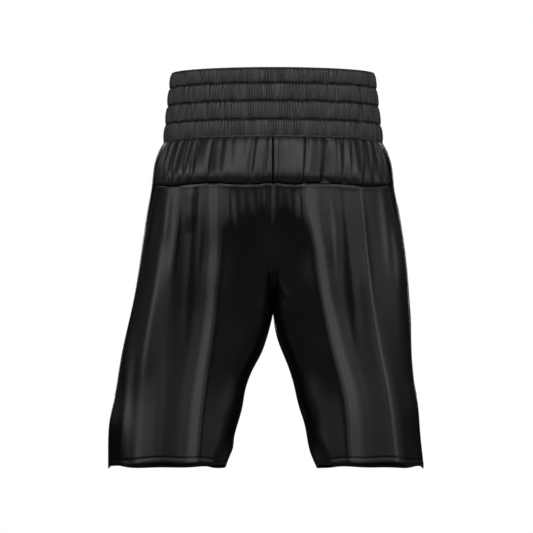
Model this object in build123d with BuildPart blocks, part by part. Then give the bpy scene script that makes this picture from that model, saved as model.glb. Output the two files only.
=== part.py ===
from build123d import *
from collections import namedtuple
from math import acos, atan2, degrees
import os

# Pull-on boxing shorts in satin, with a four-row elasticated waistband, a gathered yoke,
# tapering side panels and open side slits. Sizes in mm, as worn, hanging from the waist.
# Frame: origin at the centre of the waist rim, +Z up, +Y to the wearer's back,
# +X to the wearer's left. The left leg flares a little more than the right one.

# Waistband: a folded satin casing round four elastic webs
WAIST_HALF_WIDTH = 146.0
WAIST_HALF_DEPTH = 104.0
CHANNEL_HEIGHTS = (22.0, 25.5, 26.0, 24.5)
CHANNEL_PUFF = 3.0
RIM_LEAN_IN = 5.0
FOOT_LEAN_OUT = 6.0
CASING_THICKNESS = 4.4
CASING_SKIN = 1.0
FOLD_HEIGHT = 1.5
ELASTIC_THICKNESS = 1.4
ELASTIC_MARGIN = 3.0
WAIST_THREAD_SIZE = 0.5
WAIST_THREAD_LIFT = 0.5
FOOT_ROW_HEIGHT = 1.5
FOOT_ROW_LIFT = 1.3

# Levels down the garment
WAIST_FOOT = -sum(CHANNEL_HEIGHTS)
YOKE_SEAM = -163.0
HIP = -250.0
LOW_HIP = -300.0
CROTCH = -336.0
THIGH = -400.0
SLIT_TOP = -453.0
HEM = -550.0

# Body widths and depths, each from the centre line
YOKE_TOP_HALF_WIDTH = 150.0
YOKE_SHOULDER_HALF_WIDTH = 158.0
YOKE_PUFF_HALF_WIDTH = 166.0
YOKE_SEAM_HALF_WIDTH = 171.0
HIP_HALF_WIDTH = 186.0
YOKE_TOP_HALF_DEPTH = 109.0
YOKE_SHOULDER_HALF_DEPTH = 116.0
YOKE_PUFF_HALF_DEPTH = 121.0
YOKE_SEAM_HALF_DEPTH = 122.0
HIP_HALF_DEPTH = 123.0
LOW_HIP_HALF_DEPTH = 121.0
CROTCH_HALF_DEPTH = 118.0
THIGH_HALF_DEPTH = 115.0
HEM_HALF_DEPTH = 113.0
HIP_AXIS_SHARE = 0.25
LOW_HIP_AXIS_SHARE = 0.40
INNER_BULGE = 2.0
YOKE_SHOULDER_DROP = 0.16
YOKE_PUFF_DROP = 0.42

Side = namedtuple("Side", "sign crotch thigh slit hem thigh_gap slit_gap hem_gap")
SIDES = {
    "left": Side(1, 199.0, 214.0, 222.0, 232.0, 22.0, 43.0, 65.0),
    "right": Side(-1, 191.0, 195.0, 203.0, 211.0, 20.0, 37.0, 61.0),
}

# Cloth, seams and panels; each cutting polygon runs past what it cuts by the overrun
CLOTH = 1.2
SEAM_GAP = 0.3
HEM_FOLD = 9.0
HEM_FOLD_THICKNESS = 1.0
PANEL_TOP_HALF = 42.0
PANEL_SEAM_HALF = 52.0
PANEL_TIP_HALF = 4.0
SLIT_HALF = 1.0
SLIT_FOOT_HALF = 6.0
LEG_MIDDLE_X = 105.0
FACING_WIDTH = 13.0
FACING_THICKNESS = 0.8
THREAD_LIFT = 0.3
THREAD_THICKNESS = 0.5
THREAD_WIDTH = 0.7
TWIN_ROW = 4.0
ROW_MARGIN = 2.5
INSEAM_START = -352.0
BARTACK_HALF = 5.0
BARTACK_HEIGHT = 2.5
BARTACK_THICKNESS = 1.0
OVERRUN = 1.0

# Sewn-in blank label, a folded loop of tape inside the centre back
LABEL_WIDTH = 38.0
LABEL_DROP = 50.0
LABEL_THICKNESS = 1.6
LABEL_SLOT = 0.4
LABEL_HINGE_Y = 103.2
LABEL_HINGE_Z = -97.0
LABEL_TOP_FOLD = 6.0

REACH = 400.0

os.makedirs("parts", exist_ok=True)

Station = namedtuple("Station", "z half_width axis_x half_depth edge_x")


def open_station(z, half_width, axis_share, half_depth):
    """Level of the body above the crotch, open along the centre seam."""
    return Station(z, half_width, axis_share * half_width, half_depth, SEAM_GAP / 2)


def leg_station(z, half_width, half_depth, gap):
    """Level of a leg whose inner wall stands off the centre plane by a gap."""
    radius = (half_width - gap + INNER_BULGE) / 2
    return Station(z, half_width, half_width - radius, half_depth, gap)


def yoke_stations():
    """Levels of the gathered yoke, from the waistband to the yoke seam."""
    top = WAIST_FOOT - SEAM_GAP
    drop = YOKE_SEAM - top
    return [
        open_station(top, YOKE_TOP_HALF_WIDTH, 0, YOKE_TOP_HALF_DEPTH),
        open_station(top + drop * YOKE_SHOULDER_DROP, YOKE_SHOULDER_HALF_WIDTH, 0, YOKE_SHOULDER_HALF_DEPTH),
        open_station(top + drop * YOKE_PUFF_DROP, YOKE_PUFF_HALF_WIDTH, 0, YOKE_PUFF_HALF_DEPTH),
        open_station(YOKE_SEAM, YOKE_SEAM_HALF_WIDTH, 0, YOKE_SEAM_HALF_DEPTH),
    ]


def crotch_station(side):
    """Level where the body turns into two legs."""
    return leg_station(CROTCH, side.crotch, CROTCH_HALF_DEPTH, SEAM_GAP / 2)


def seat_stations(side):
    """Levels of the seat, from the yoke seam to the crotch."""
    low_hip_half_width = (HIP_HALF_WIDTH + side.crotch) / 2
    return [
        open_station(YOKE_SEAM, YOKE_SEAM_HALF_WIDTH, 0, YOKE_SEAM_HALF_DEPTH),
        open_station(HIP, HIP_HALF_WIDTH, HIP_AXIS_SHARE, HIP_HALF_DEPTH),
        open_station(LOW_HIP, low_hip_half_width, LOW_HIP_AXIS_SHARE, LOW_HIP_HALF_DEPTH),
        crotch_station(side),
    ]


def leg_stations(side):
    """Levels of one leg, from the crotch to the hem."""
    return [
        crotch_station(side),
        leg_station(THIGH, side.thigh, THIGH_HALF_DEPTH, side.thigh_gap),
        leg_station(SLIT_TOP, side.slit, THIGH_HALF_DEPTH, side.slit_gap),
        leg_station(HEM, side.hem, HEM_HALF_DEPTH, side.hem_gap),
    ]


def outline(station, sign, inset, edge_inset):
    """Half-body outline: an elliptical arc closed by a straight inner edge."""
    radius_x = station.half_width - station.axis_x - inset
    radius_y = station.half_depth - inset
    edge_x = station.edge_x + edge_inset
    half_turn = degrees(acos((edge_x - station.axis_x) / radius_x))
    middle = 0 if sign > 0 else 180
    centre = (sign * station.axis_x, 0)
    with BuildLine() as rim:
        arc = EllipticalCenterArc(centre, radius_x, radius_y, middle - half_turn, arc_size=2 * half_turn)
        Line(arc @ 1, arc @ 0)
    make_face(rim.edges())


def half_shell(stations, sign, inset, thickness, closed):
    """Loft a shell through the stations; a closed one has a wall on its inner edge too."""
    with BuildPart() as shell:
        for station in stations:
            with BuildSketch(Plane.XY.offset(station.z)):
                outline(station, sign, inset, inset if closed else 0)
        loft()
        for station in stations:
            with BuildSketch(Plane.XY.offset(station.z)):
                outline(station, sign, inset + thickness, inset + thickness if closed else 0)
        loft(mode=Mode.SUBTRACT)
    return shell.part


def cut_out(shell, plane, corners, direction, depth=REACH, mode=Mode.INTERSECT):
    """Keep, or take away, what lies behind a polygon drawn on a plane."""
    with BuildPart() as piece:
        add(shell)
        with BuildSketch(plane):
            with BuildLine():
                Polyline(*corners, close=True)
            make_face()
        extrude(amount=depth, dir=direction, mode=mode)
    return piece.part


def export(part, name):
    """Name one finished piece and write it."""
    part.label = name
    export_step(part, f"parts/{name}.step")


def panel_polygon(margin):
    """Side panel seen from the side: wide at the yoke, tapering down to the slit."""
    top = WAIST_FOOT
    return [
        (-PANEL_TOP_HALF - margin, top),
        (PANEL_TOP_HALF + margin, top),
        (PANEL_SEAM_HALF + margin, YOKE_SEAM),
        (PANEL_TIP_HALF + margin, SLIT_TOP),
        (-PANEL_TIP_HALF - margin, SLIT_TOP),
        (-PANEL_SEAM_HALF - margin, YOKE_SEAM),
    ]


def slit_polygon():
    """Open side slit seen from the side."""
    return [
        (-SLIT_HALF, SLIT_TOP + SEAM_GAP),
        (SLIT_HALF, SLIT_TOP + SEAM_GAP),
        (SLIT_FOOT_HALF, HEM),
        (-SLIT_FOOT_HALF, HEM),
    ]


def side_plane(side):
    """Upright plane through the middle of a leg, facing outwards."""
    return Plane.YZ.offset(side.sign * LEG_MIDDLE_X)


def seam_strip(start, end, width):
    """Slim polygon that follows a seam line, seen from the side."""
    return [start, end, (end[0] + width, end[1]), (start[0] + width, start[1])]


# ---- Waistband ----

def lean(z):
    """Radial place of the stitched grooves at a level of the waistband."""
    return -RIM_LEAN_IN + (FOOT_LEAN_OUT + RIM_LEAN_IN) * z / WAIST_FOOT


def puffed_edge(shift, top):
    """Scalloped line of the outer skin, from the rim down to the waistband's foot."""
    last = (WAIST_HALF_WIDTH + lean(top) + shift, top)
    level = 0.0
    for height in CHANNEL_HEIGHTS:
        level -= height
        foot = (WAIST_HALF_WIDTH + lean(level) + shift, level)
        crown = ((last[0] + foot[0]) / 2 + CHANNEL_PUFF, (last[1] + foot[1]) / 2)
        ThreePointArc(last, crown, foot)
        last = foot
    return last


with BuildLine() as waist_line:
    EllipticalCenterArc((0, 0), WAIST_HALF_WIDTH, WAIST_HALF_DEPTH, 0, arc_size=360)
waist_path = waist_line.wire()

with BuildPart() as waistband_casing:
    with BuildSketch(Plane.XZ):
        with BuildLine():
            outer_foot = puffed_edge(0, -FOLD_HEIGHT)
            inner_foot = (outer_foot[0] - CASING_THICKNESS, WAIST_FOOT)
            rim_x = WAIST_HALF_WIDTH + lean(-FOLD_HEIGHT)
            inner_rim = (rim_x - CASING_THICKNESS, -FOLD_HEIGHT)
            Polyline(outer_foot, inner_foot, inner_rim)
            ThreePointArc(inner_rim, (rim_x - CASING_THICKNESS / 2, 0), (rim_x, -FOLD_HEIGHT))
        make_face()
        with BuildLine():
            pocket_top = -FOLD_HEIGHT - CASING_SKIN
            pocket_foot = puffed_edge(-CASING_SKIN, pocket_top)
            pocket_x = WAIST_HALF_WIDTH + lean(pocket_top) - CASING_SKIN
            pocket_width = CASING_THICKNESS - 2 * CASING_SKIN
            Polyline(
                pocket_foot,
                (pocket_foot[0] - pocket_width, WAIST_FOOT),
                (pocket_x - pocket_width, pocket_top),
                (pocket_x, pocket_top),
            )
        make_face(mode=Mode.SUBTRACT)
    sweep(path=waist_path)
export(waistband_casing.part, "waistband_casing")

web_tilt = degrees(atan2(FOOT_LEAN_OUT + RIM_LEAN_IN, -WAIST_FOOT))
channel_top = 0.0
for row, channel_height in enumerate(CHANNEL_HEIGHTS, start=1):
    web_z = channel_top - channel_height / 2 - (FOLD_HEIGHT if row == 1 else 0)
    web_x = WAIST_HALF_WIDTH + lean(web_z) - CASING_THICKNESS / 2
    web_height = channel_height - ELASTIC_MARGIN - (FOLD_HEIGHT if row == 1 else 0)
    with BuildPart() as waist_elastic:
        with BuildSketch(Plane.XZ):
            with Locations((web_x, web_z)):
                Rectangle(ELASTIC_THICKNESS, web_height, rotation=web_tilt)
        sweep(path=waist_path)
    export(waist_elastic.part, f"waist_elastic_{row}")
    channel_top -= channel_height

with BuildPart() as waistband_stitching:
    with BuildSketch(Plane.XZ):
        groove = 0.0
        for channel_height in CHANNEL_HEIGHTS[:-1]:
            groove -= channel_height
            with Locations((WAIST_HALF_WIDTH + lean(groove) + WAIST_THREAD_LIFT, groove)):
                Rectangle(WAIST_THREAD_SIZE, WAIST_THREAD_SIZE)
        foot_row = WAIST_FOOT + FOOT_ROW_HEIGHT
        with Locations((WAIST_HALF_WIDTH + lean(foot_row) + FOOT_ROW_LIFT, foot_row)):
            Rectangle(WAIST_THREAD_SIZE, WAIST_THREAD_SIZE)
    sweep(path=waist_path)
export(waistband_stitching.part, "waistband_stitching")


# ---- Body: yoke, side panels and legs ----

def half_of(part, face):
    """Front or back half of a piece, clear of the side-to-side seam by half a gap."""
    offset = -SEAM_GAP / 2 if face == "back" else SEAM_GAP / 2
    with BuildPart() as half:
        add(part)
        split(bisect_by=Plane.XZ.offset(offset), keep=Keep.BOTTOM if face == "back" else Keep.TOP)
    return half.part


def cloth_above(part, level):
    """The piece above a level."""
    with BuildPart() as trimmed:
        add(part)
        split(bisect_by=Plane.XY.offset(level), keep=Keep.TOP)
    return trimmed.part


def cloth_below(part, level):
    """The piece below a level."""
    with BuildPart() as trimmed:
        add(part)
        split(bisect_by=Plane.XY.offset(level), keep=Keep.BOTTOM)
    return trimmed.part


def joined(*pieces):
    """One solid from pieces that meet."""
    with BuildPart() as whole:
        for piece in pieces:
            add(piece)
    return whole.part


back_rows = []
front_rows = []
centre_back_rows = []
centre_front_rows = []
for side_name, side in SIDES.items():
    out = (side.sign, 0, 0)
    inward = (-side.sign, 0, 0)
    plane = side_plane(side)
    yoke = half_shell(yoke_stations(), side.sign, 0, CLOTH, closed=False)
    seat = half_shell(seat_stations(side), side.sign, 0, CLOTH, closed=False)
    leg = half_shell(leg_stations(side), side.sign, 0, CLOTH, closed=True)
    fold = half_shell(leg_stations(side), side.sign, CLOTH, HEM_FOLD_THICKNESS, closed=True)
    hem_fold = cloth_below(fold, HEM + HEM_FOLD)
    body = joined(seat, leg)

    # Side panel, from the waistband down to a narrow tip above the slit
    side_panel = cut_out(joined(yoke, seat, leg), plane, panel_polygon(0), out)
    export(side_panel, f"side_panel_{side_name}")

    # Front and back pieces, with the side panel and the slit taken out
    skirt = cut_out(joined(body, hem_fold), plane, panel_polygon(SEAM_GAP), out, mode=Mode.SUBTRACT)
    skirt = cut_out(skirt, plane, slit_polygon(), out, mode=Mode.SUBTRACT)
    skirt = cloth_below(skirt, YOKE_SEAM - SEAM_GAP / 2)
    yoke_band = cut_out(yoke, plane, panel_polygon(SEAM_GAP), out, mode=Mode.SUBTRACT)
    yoke_band = cloth_above(yoke_band, YOKE_SEAM + SEAM_GAP / 2)
    for face in ("back", "front"):
        export(half_of(yoke_band, face), f"{face}_yoke_{side_name}")
        export(half_of(skirt, face), f"{face}_leg_{side_name}")

    # Facings inside the slit edges
    lining = half_shell(leg_stations(side), side.sign, CLOTH + SEAM_GAP, FACING_THICKNESS, closed=True)
    for face, turn in (("back", 1), ("front", -1)):
        facing_corners = [
            (turn * (SLIT_HALF + OVERRUN), SLIT_TOP + FACING_WIDTH),
            (turn * FACING_WIDTH, SLIT_TOP + FACING_WIDTH),
            (turn * (SLIT_FOOT_HALF + FACING_WIDTH), HEM + HEM_FOLD + SEAM_GAP),
            (turn * SLIT_FOOT_HALF, HEM + HEM_FOLD + SEAM_GAP),
        ]
        facing = cut_out(lining, plane, facing_corners, out)
        export(facing, f"slit_facing_{face}_{side_name}")

    # Threads lie just above the cloth
    lift = -(THREAD_LIFT + THREAD_THICKNESS)
    seat_cover = half_shell(seat_stations(side), side.sign, lift, THREAD_THICKNESS, closed=False)
    leg_cover = half_shell(leg_stations(side), side.sign, lift, THREAD_THICKNESS, closed=True)

    seam_threads = []
    for turn in (1, -1):
        upper = (turn * (PANEL_SEAM_HALF + ROW_MARGIN), YOKE_SEAM - ROW_MARGIN)
        lower = (turn * (PANEL_TIP_HALF + ROW_MARGIN), SLIT_TOP + ROW_MARGIN)
        corners = seam_strip(upper, lower, turn * THREAD_WIDTH)
        seam_threads.append(cut_out(joined(seat_cover, leg_cover), plane, corners, out))
    export(joined(*seam_threads), f"side_seam_stitching_{side_name}")

    inseam_threads = []
    for turn in (1, -1):
        upper = (turn * ROW_MARGIN, INSEAM_START)
        lower = (turn * ROW_MARGIN, HEM + HEM_FOLD)
        corners = seam_strip(upper, lower, turn * THREAD_WIDTH)
        inseam_threads.append(cut_out(leg_cover, plane, corners, inward, depth=LEG_MIDDLE_X + OVERRUN))
    export(joined(*inseam_threads), f"inseam_stitching_{side_name}")

    hem_row_z = HEM + HEM_FOLD - ROW_MARGIN
    hem_row = cut_out(
        leg_cover,
        Plane.XY.offset(hem_row_z),
        [(-REACH, -REACH), (REACH, -REACH), (REACH, REACH), (-REACH, REACH)],
        (0, 0, 1),
        depth=THREAD_WIDTH,
    )
    hem_slit = [
        (-SLIT_FOOT_HALF - OVERRUN, hem_row_z - OVERRUN),
        (SLIT_FOOT_HALF + OVERRUN, hem_row_z - OVERRUN),
        (SLIT_FOOT_HALF + OVERRUN, hem_row_z + THREAD_WIDTH + OVERRUN),
        (-SLIT_FOOT_HALF - OVERRUN, hem_row_z + THREAD_WIDTH + OVERRUN),
    ]
    hem_row = cut_out(hem_row, plane, hem_slit, out, mode=Mode.SUBTRACT)
    export(hem_row, f"hem_stitching_{side_name}")

    tack_shell = half_shell(
        leg_stations(side), side.sign, -THREAD_LIFT - BARTACK_THICKNESS, BARTACK_THICKNESS, closed=True
    )
    tack_corners = [
        (-BARTACK_HALF, SLIT_TOP - BARTACK_HEIGHT),
        (BARTACK_HALF, SLIT_TOP - BARTACK_HEIGHT),
        (BARTACK_HALF, SLIT_TOP),
        (-BARTACK_HALF, SLIT_TOP),
    ]
    export(cut_out(tack_shell, plane, tack_corners, out), f"slit_bartack_{side_name}")

    # Twin rows below the yoke seam and beside the centre seams
    side_edge = PANEL_SEAM_HALF + 2 * ROW_MARGIN
    near = side.sign * ROW_MARGIN
    far = side.sign * REACH
    for depth in (ROW_MARGIN, ROW_MARGIN + TWIN_ROW):
        level = Plane.XY.offset(YOKE_SEAM - depth)
        for rows, turn in ((back_rows, 1), (front_rows, -1)):
            corners = [
                (near, turn * side_edge),
                (far, turn * side_edge),
                (far, turn * REACH),
                (near, turn * REACH),
            ]
            rows.append(cut_out(seat_cover, level, corners, (0, 0, -1), depth=THREAD_WIDTH))
    row_top = YOKE_SEAM - 2 * ROW_MARGIN - TWIN_ROW
    centre_corners = [
        (near, row_top),
        (near + side.sign * THREAD_WIDTH, row_top),
        (near + side.sign * THREAD_WIDTH, LOW_HIP),
        (near, LOW_HIP),
    ]
    centre_back_rows.append(cut_out(seat_cover, Plane.XZ, centre_corners, (0, 1, 0)))
    centre_front_rows.append(cut_out(seat_cover, Plane.XZ, centre_corners, (0, -1, 0)))

export(joined(*back_rows), "yoke_stitching_back")
export(joined(*front_rows), "yoke_stitching_front")
export(joined(*centre_back_rows), "centre_stitching_back")
export(joined(*centre_front_rows), "centre_stitching_front")


# ---- Label ----

with BuildPart() as care_label:
    with BuildSketch(Plane.YZ.offset(-LABEL_WIDTH / 2)):
        with Locations((LABEL_HINGE_Y, LABEL_HINGE_Z - LABEL_DROP / 2)):
            SlotCenterToCenter(LABEL_DROP - LABEL_THICKNESS, LABEL_THICKNESS, rotation=90)
        slot_height = LABEL_DROP - LABEL_TOP_FOLD - LABEL_THICKNESS
        slot_z = LABEL_HINGE_Z - LABEL_TOP_FOLD - slot_height / 2
        with Locations((LABEL_HINGE_Y, slot_z)):
            SlotCenterToCenter(slot_height - LABEL_SLOT, LABEL_SLOT, rotation=90, mode=Mode.SUBTRACT)
    extrude(amount=LABEL_WIDTH)
export(care_label.part, "care_label")
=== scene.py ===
import bpy
import math
import numpy as np
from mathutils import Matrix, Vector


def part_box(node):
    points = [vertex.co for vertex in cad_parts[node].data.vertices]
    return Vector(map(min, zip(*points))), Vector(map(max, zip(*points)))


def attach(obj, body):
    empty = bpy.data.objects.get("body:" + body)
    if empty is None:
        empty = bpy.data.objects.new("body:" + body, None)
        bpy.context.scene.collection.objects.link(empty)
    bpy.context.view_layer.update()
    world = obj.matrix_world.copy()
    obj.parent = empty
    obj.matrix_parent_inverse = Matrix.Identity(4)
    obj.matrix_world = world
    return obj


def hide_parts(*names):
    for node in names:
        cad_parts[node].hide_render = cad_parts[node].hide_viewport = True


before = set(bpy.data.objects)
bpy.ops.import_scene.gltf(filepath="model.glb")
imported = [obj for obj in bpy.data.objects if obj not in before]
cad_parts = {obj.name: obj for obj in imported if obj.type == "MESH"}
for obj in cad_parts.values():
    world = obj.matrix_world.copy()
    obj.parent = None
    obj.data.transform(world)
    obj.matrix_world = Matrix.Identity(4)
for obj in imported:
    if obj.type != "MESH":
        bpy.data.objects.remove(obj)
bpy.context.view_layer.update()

# Black satin boxing shorts, hanging as worn. Metres, the CAD frame: origin at the waist rim,
# +Z up, +Y to the wearer's back, +X to the wearer's left.
MM = 0.001
random = np.random.default_rng(41)

# ---- Places from the frame ----

RIM_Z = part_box("waistband_casing")[1][2]
FOOT_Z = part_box("waistband_casing")[0][2]
YOKE_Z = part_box("back_leg_left")[1][2]
HEM_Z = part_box("back_leg_left")[0][2]
SLIT_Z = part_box("slit_bartack_left")[1][2]
CROTCH_Z = -336 * MM
WEB_BOXES = [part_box(f"waist_elastic_{row}") for row in range(1, 5)]
GROOVE_Z = [(WEB_BOXES[i][0][2] + WEB_BOXES[i + 1][1][2]) / 2 for i in range(3)]
WAIST_X = (WEB_BOXES[1][1][0] + WEB_BOXES[2][1][0]) / 2 + 2 * MM
WAIST_Y = (WEB_BOXES[1][1][1] + WEB_BOXES[2][1][1]) / 2 + 2 * MM
LEAN = 11 * MM
YOKE_TUCK = 3 * MM
LEG_MIDDLE_X = 145 * MM

CLOTH_THICKNESS = 0.4 * MM
SEAM_STITCH = 2.5 * MM
HEM_STITCH = 6.5 * MM
YOKE_STITCHES = (2.5 * MM, 6.5 * MM)
HEM_TURN = 0.9 * MM
HEM_QUARTERS = (0.25, 0.5, 0.75, 1.0)
HEM_FINE_ROWS = 10

SIDES = {"left": 1, "right": -1}
FACES = ("back", "front")


# ---- Body shape ----

class Profile:
    """A smooth curve through a few (level, value) pairs, levels in mm."""

    def __init__(self, *pairs):
        pairs = sorted(pairs)
        self.x = np.array([p[0] for p in pairs]) * MM
        self.y = np.array([p[1] for p in pairs], dtype=float)
        step = np.diff(self.y) / np.diff(self.x)
        self.m = np.concatenate([[step[0]], (step[1:] + step[:-1]) / 2, [step[-1]]])
        turning = np.sign(step[1:]) * np.sign(step[:-1]) <= 0
        self.m[1:-1][turning] = 0

    def __call__(self, x):
        x = np.clip(x, self.x[0], self.x[-1])
        i = np.clip(np.searchsorted(self.x, x) - 1, 0, len(self.x) - 2)
        h = self.x[i + 1] - self.x[i]
        t = (x - self.x[i]) / h
        return (
            (1 + 2 * t) * (1 - t) ** 2 * self.y[i]
            + t * (1 - t) ** 2 * h * self.m[i]
            + t * t * (3 - 2 * t) * self.y[i + 1]
            + t * t * (t - 1) * h * self.m[i + 1]
        )


# Outermost half width of each half, by level, in mm, read off the photograph's outline
HALF_WIDTH = {
    "left": Profile(
        (-163, 171), (-217, 180), (-261, 186), (-306, 193), (-350, 202), (-394, 212),
        (-439, 219), (-461, 222), (-472, 226), (-483, 229), (-506, 231), (-550, 231),
    ),
    "right": Profile(
        (-163, 171), (-217, 180), (-261, 186), (-283, 188), (-328, 191), (-372, 193),
        (-417, 196), (-439, 198), (-461, 203), (-506, 206), (-550, 211),
    ),
}
# Distance of the inner leg from the centre plane, in mm, read off the same outline
INNER_GAP = {
    "left": Profile(
        (-336, 0), (-350, 3), (-372, 9), (-394, 17), (-417, 30), (-439, 38),
        (-472, 44), (-483, 47), (-506, 54), (-528, 57), (-539, 62), (-550, 66),
    ),
    "right": Profile(
        (-336, 0), (-350, 2), (-372, 7), (-394, 17), (-417, 26), (-439, 32), (-461, 36),
        (-472, 39), (-483, 45), (-506, 49), (-528, 52), (-539, 57), (-550, 62),
    ),
}
# Depth of the centre seam, which runs in a U from the yoke down to the crotch, in mm
SEAM_DEPTH = Profile(
    (-163, 118), (-200, 117), (-250, 108), (-285, 92), (-305, 77), (-320, 58), (-330, 35), (-336, 0),
)
# Growth of the yoke from the waistband's foot to the yoke seam, in mm
YOKE_WIDTH = Profile(
    (-98, 152.8), (-101, 155), (-107, 158), (-117, 161), (-130, 165), (-150, 169), (-163, 171),
)
YOKE_DEPTH = Profile(
    (-98, 110.8), (-101, 112.5), (-107, 115), (-117, 117), (-130, 119), (-152, 122), (-163, 118),
)

# Fold lines of the back, in mm: points (x, y) of the outline at a few levels, from the centre outwards.
# The inner wall's x counts from the inner leg and the outer wall's from the outermost line.
INNER_WALL = {
    -163: [(8, 118), (18, 118), (30, 118)],
    -200: [(8, 118), (18, 118), (31, 118)],
    -250: [(5, 107), (14, 109), (28, 111)],
    -300: [(2, 84), (8, 94), (22, 100)],
    -336: [(1, 50), (4, 78), (16, 92)],
    -370: [(0, 54), (3, 76), (13, 89)],
    -400: [(0, 54), (3, 76), (13, 89)],
    -453: [(0, 54), (3, 79), (15, 92)],
    -550: [(0, 54), (3, 84), (17, 97)],
}
OUTER_WALL = {
    "left": {
        -163: [(-14, 64), (-2, 34)],
        -250: [(-14, 60), (-2, 31)],
        -336: [(-14, 57), (-2, 29)],
        -400: [(-14, 54), (-2, 27)],
        -453: [(-15, 50), (-2, 26)],
        -550: [(-18, 47), (-3, 25)],
    },
    "right": {
        -163: [(-13, 58), (-2, 28)],
        -250: [(-12, 50), (-2, 25)],
        -336: [(-12, 49), (-2, 25)],
        -550: [(-12, 45), (-2, 24)],
    },
}
FOLDS = {
    "left": {
        -163: [(58, 118), (76, 117), (87, 108), (127, 101), (149, 87)],
        -200: [(58, 118), (76, 118), (87, 109), (131, 101), (153, 87)],
        -250: [(55, 113), (75, 115), (87, 105), (137, 98), (159, 85)],
        -300: [(55, 107), (77, 112), (90, 102), (142, 94), (165, 85)],
        -336: [(57, 102), (79, 109), (92, 99), (147, 91), (171, 83)],
        -400: [(64, 98), (88, 105), (101, 95), (152, 87), (180, 79)],
        -453: [(76, 97), (96, 103), (109, 93), (156, 86), (184, 74)],
        -550: [(92, 99), (105, 103), (118, 93), (162, 85), (191, 72)],
    },
    "right": {
        -163: [(34, 118), (44, 118), (56, 111), (119, 95), (133, 83)],
        -200: [(38, 118), (48, 118), (60, 110), (122, 94), (136, 82)],
        -250: [(44, 112), (58, 114), (70, 105), (126, 92), (140, 79)],
        -300: [(44, 107), (63, 111), (75, 102), (133, 90), (147, 77)],
        -336: [(49, 102), (70, 108), (82, 98), (139, 88), (152, 75)],
        -400: [(59, 98), (84, 105), (97, 95), (150, 85), (162, 73)],
        -453: [(74, 97), (99, 103), (112, 93), (161, 83), (173, 71)],
        -550: [(91, 99), (107, 103), (119, 93), (172, 81), (184, 69)],
    },
}
# The front is the back turned round, a little shallower and with its folds further out, in mm
FRONT_DEPTH_SHARE = 0.97
FRONT_FOLD_SHIFT = 10
# Where the steep facet's lower neighbour is split, as shares of its width and its drop
EASE_ACROSS = 0.3
EASE_DROP = 0.55

COLUMNS = 144
BACK_COLUMNS = COLUMNS // 2
YOKE_ROW = 16
SEAT_ROWS = 44
LEG_ROWS = 56
CROTCH_ROW = YOKE_ROW + SEAT_ROWS
LAST_ROW = CROTCH_ROW + LEG_ROWS
SLIT_ROW = CROTCH_ROW + int(round(LEG_ROWS * (CROTCH_Z - SLIT_Z) / (CROTCH_Z - HEM_Z)))
LEVELS = np.linspace(HEM_Z, YOKE_Z, 260)
COLUMN_SOFTNESS = 1.3
LEVEL_SOFTNESS = 9


def smooth(x, low, high):
    """Smooth step from 0 at low to 1 at high."""
    t = np.clip((x - low) / (high - low), 0, 1)
    return t * t * (3 - 2 * t)


def unit(vectors):
    """Vectors scaled to length one."""
    return vectors / np.maximum(np.linalg.norm(vectors, axis=-1, keepdims=True), 1e-12)


def run_along(points):
    """Run along a line of points, from 0 at its first."""
    return np.concatenate([[0], np.cumsum(np.linalg.norm(np.diff(points, axis=0), axis=-1))])


def softened(table, axis, sigma):
    """Gaussian smoothing along one axis that leaves both ends in place."""
    reach = int(4 * sigma)
    kernel = np.exp(-0.5 * (np.arange(-reach, reach + 1) / sigma) ** 2)
    kernel /= kernel.sum()
    table = np.moveaxis(table, axis, 0)
    margins = [(reach, reach)] + [(0, 0)] * (table.ndim - 1)
    wide = np.pad(table, margins, mode="reflect", reflect_type="odd")
    blurred = sum(k * wide[i:i + len(table)] for i, k in enumerate(kernel))
    return np.moveaxis(blurred, 0, axis)


def line_curves(rows):
    """A pair of curves, x and y by level, for each fold line of a table."""
    count = len(next(iter(rows.values())))
    return [
        [Profile(*[(z, points[i][k]) for z, points in rows.items()]) for k in (0, 1)]
        for i in range(count)
    ]


def eased(points):
    """Fold points with one more past the foot of the steep facet, so that the slope eases off."""
    (x, y), (after_x, after_y) = points[2:4]
    extra = (x + EASE_ACROSS * (after_x - x), y + EASE_DROP * (after_y - y))
    return points[:3] + [extra] + points[3:]


def outline_corners(side, level):
    """Corners of one half's outline at a level, back half and front half, both from their first column on."""
    gap = float(INNER_GAP[side](level)) if level < CROTCH_Z else 0
    width = float(HALF_WIDTH[side](level))
    back = [(gap, float(SEAM_DEPTH(level)))]
    back += [(gap + x(level), y(level)) for x, y in FOLD_CURVES[side][0]]
    back += eased([(x(level), y(level)) for x, y in FOLD_CURVES[side][1]])
    back += [(width + x(level), y(level)) for x, y in FOLD_CURVES[side][2]]
    back = np.array(back + [(width, 0)], dtype=float)
    share = (back[:, 0] - gap) / (width - gap)
    front_x = back[:, 0] + FRONT_FOLD_SHIFT * np.sin(np.pi * share) ** 2
    front = np.stack([front_x, -FRONT_DEPTH_SHARE * back[:, 1]], axis=-1)[::-1]
    return back, front


def corner_runs(corners):
    """Run along the outline to each corner, as shares of the whole."""
    run = run_along(corners)
    return run / run[-1]


FOLD_CURVES = {
    side: [line_curves(table) for table in (INNER_WALL, FOLDS[side], OUTER_WALL[side])]
    for side in SIDES
}


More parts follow.
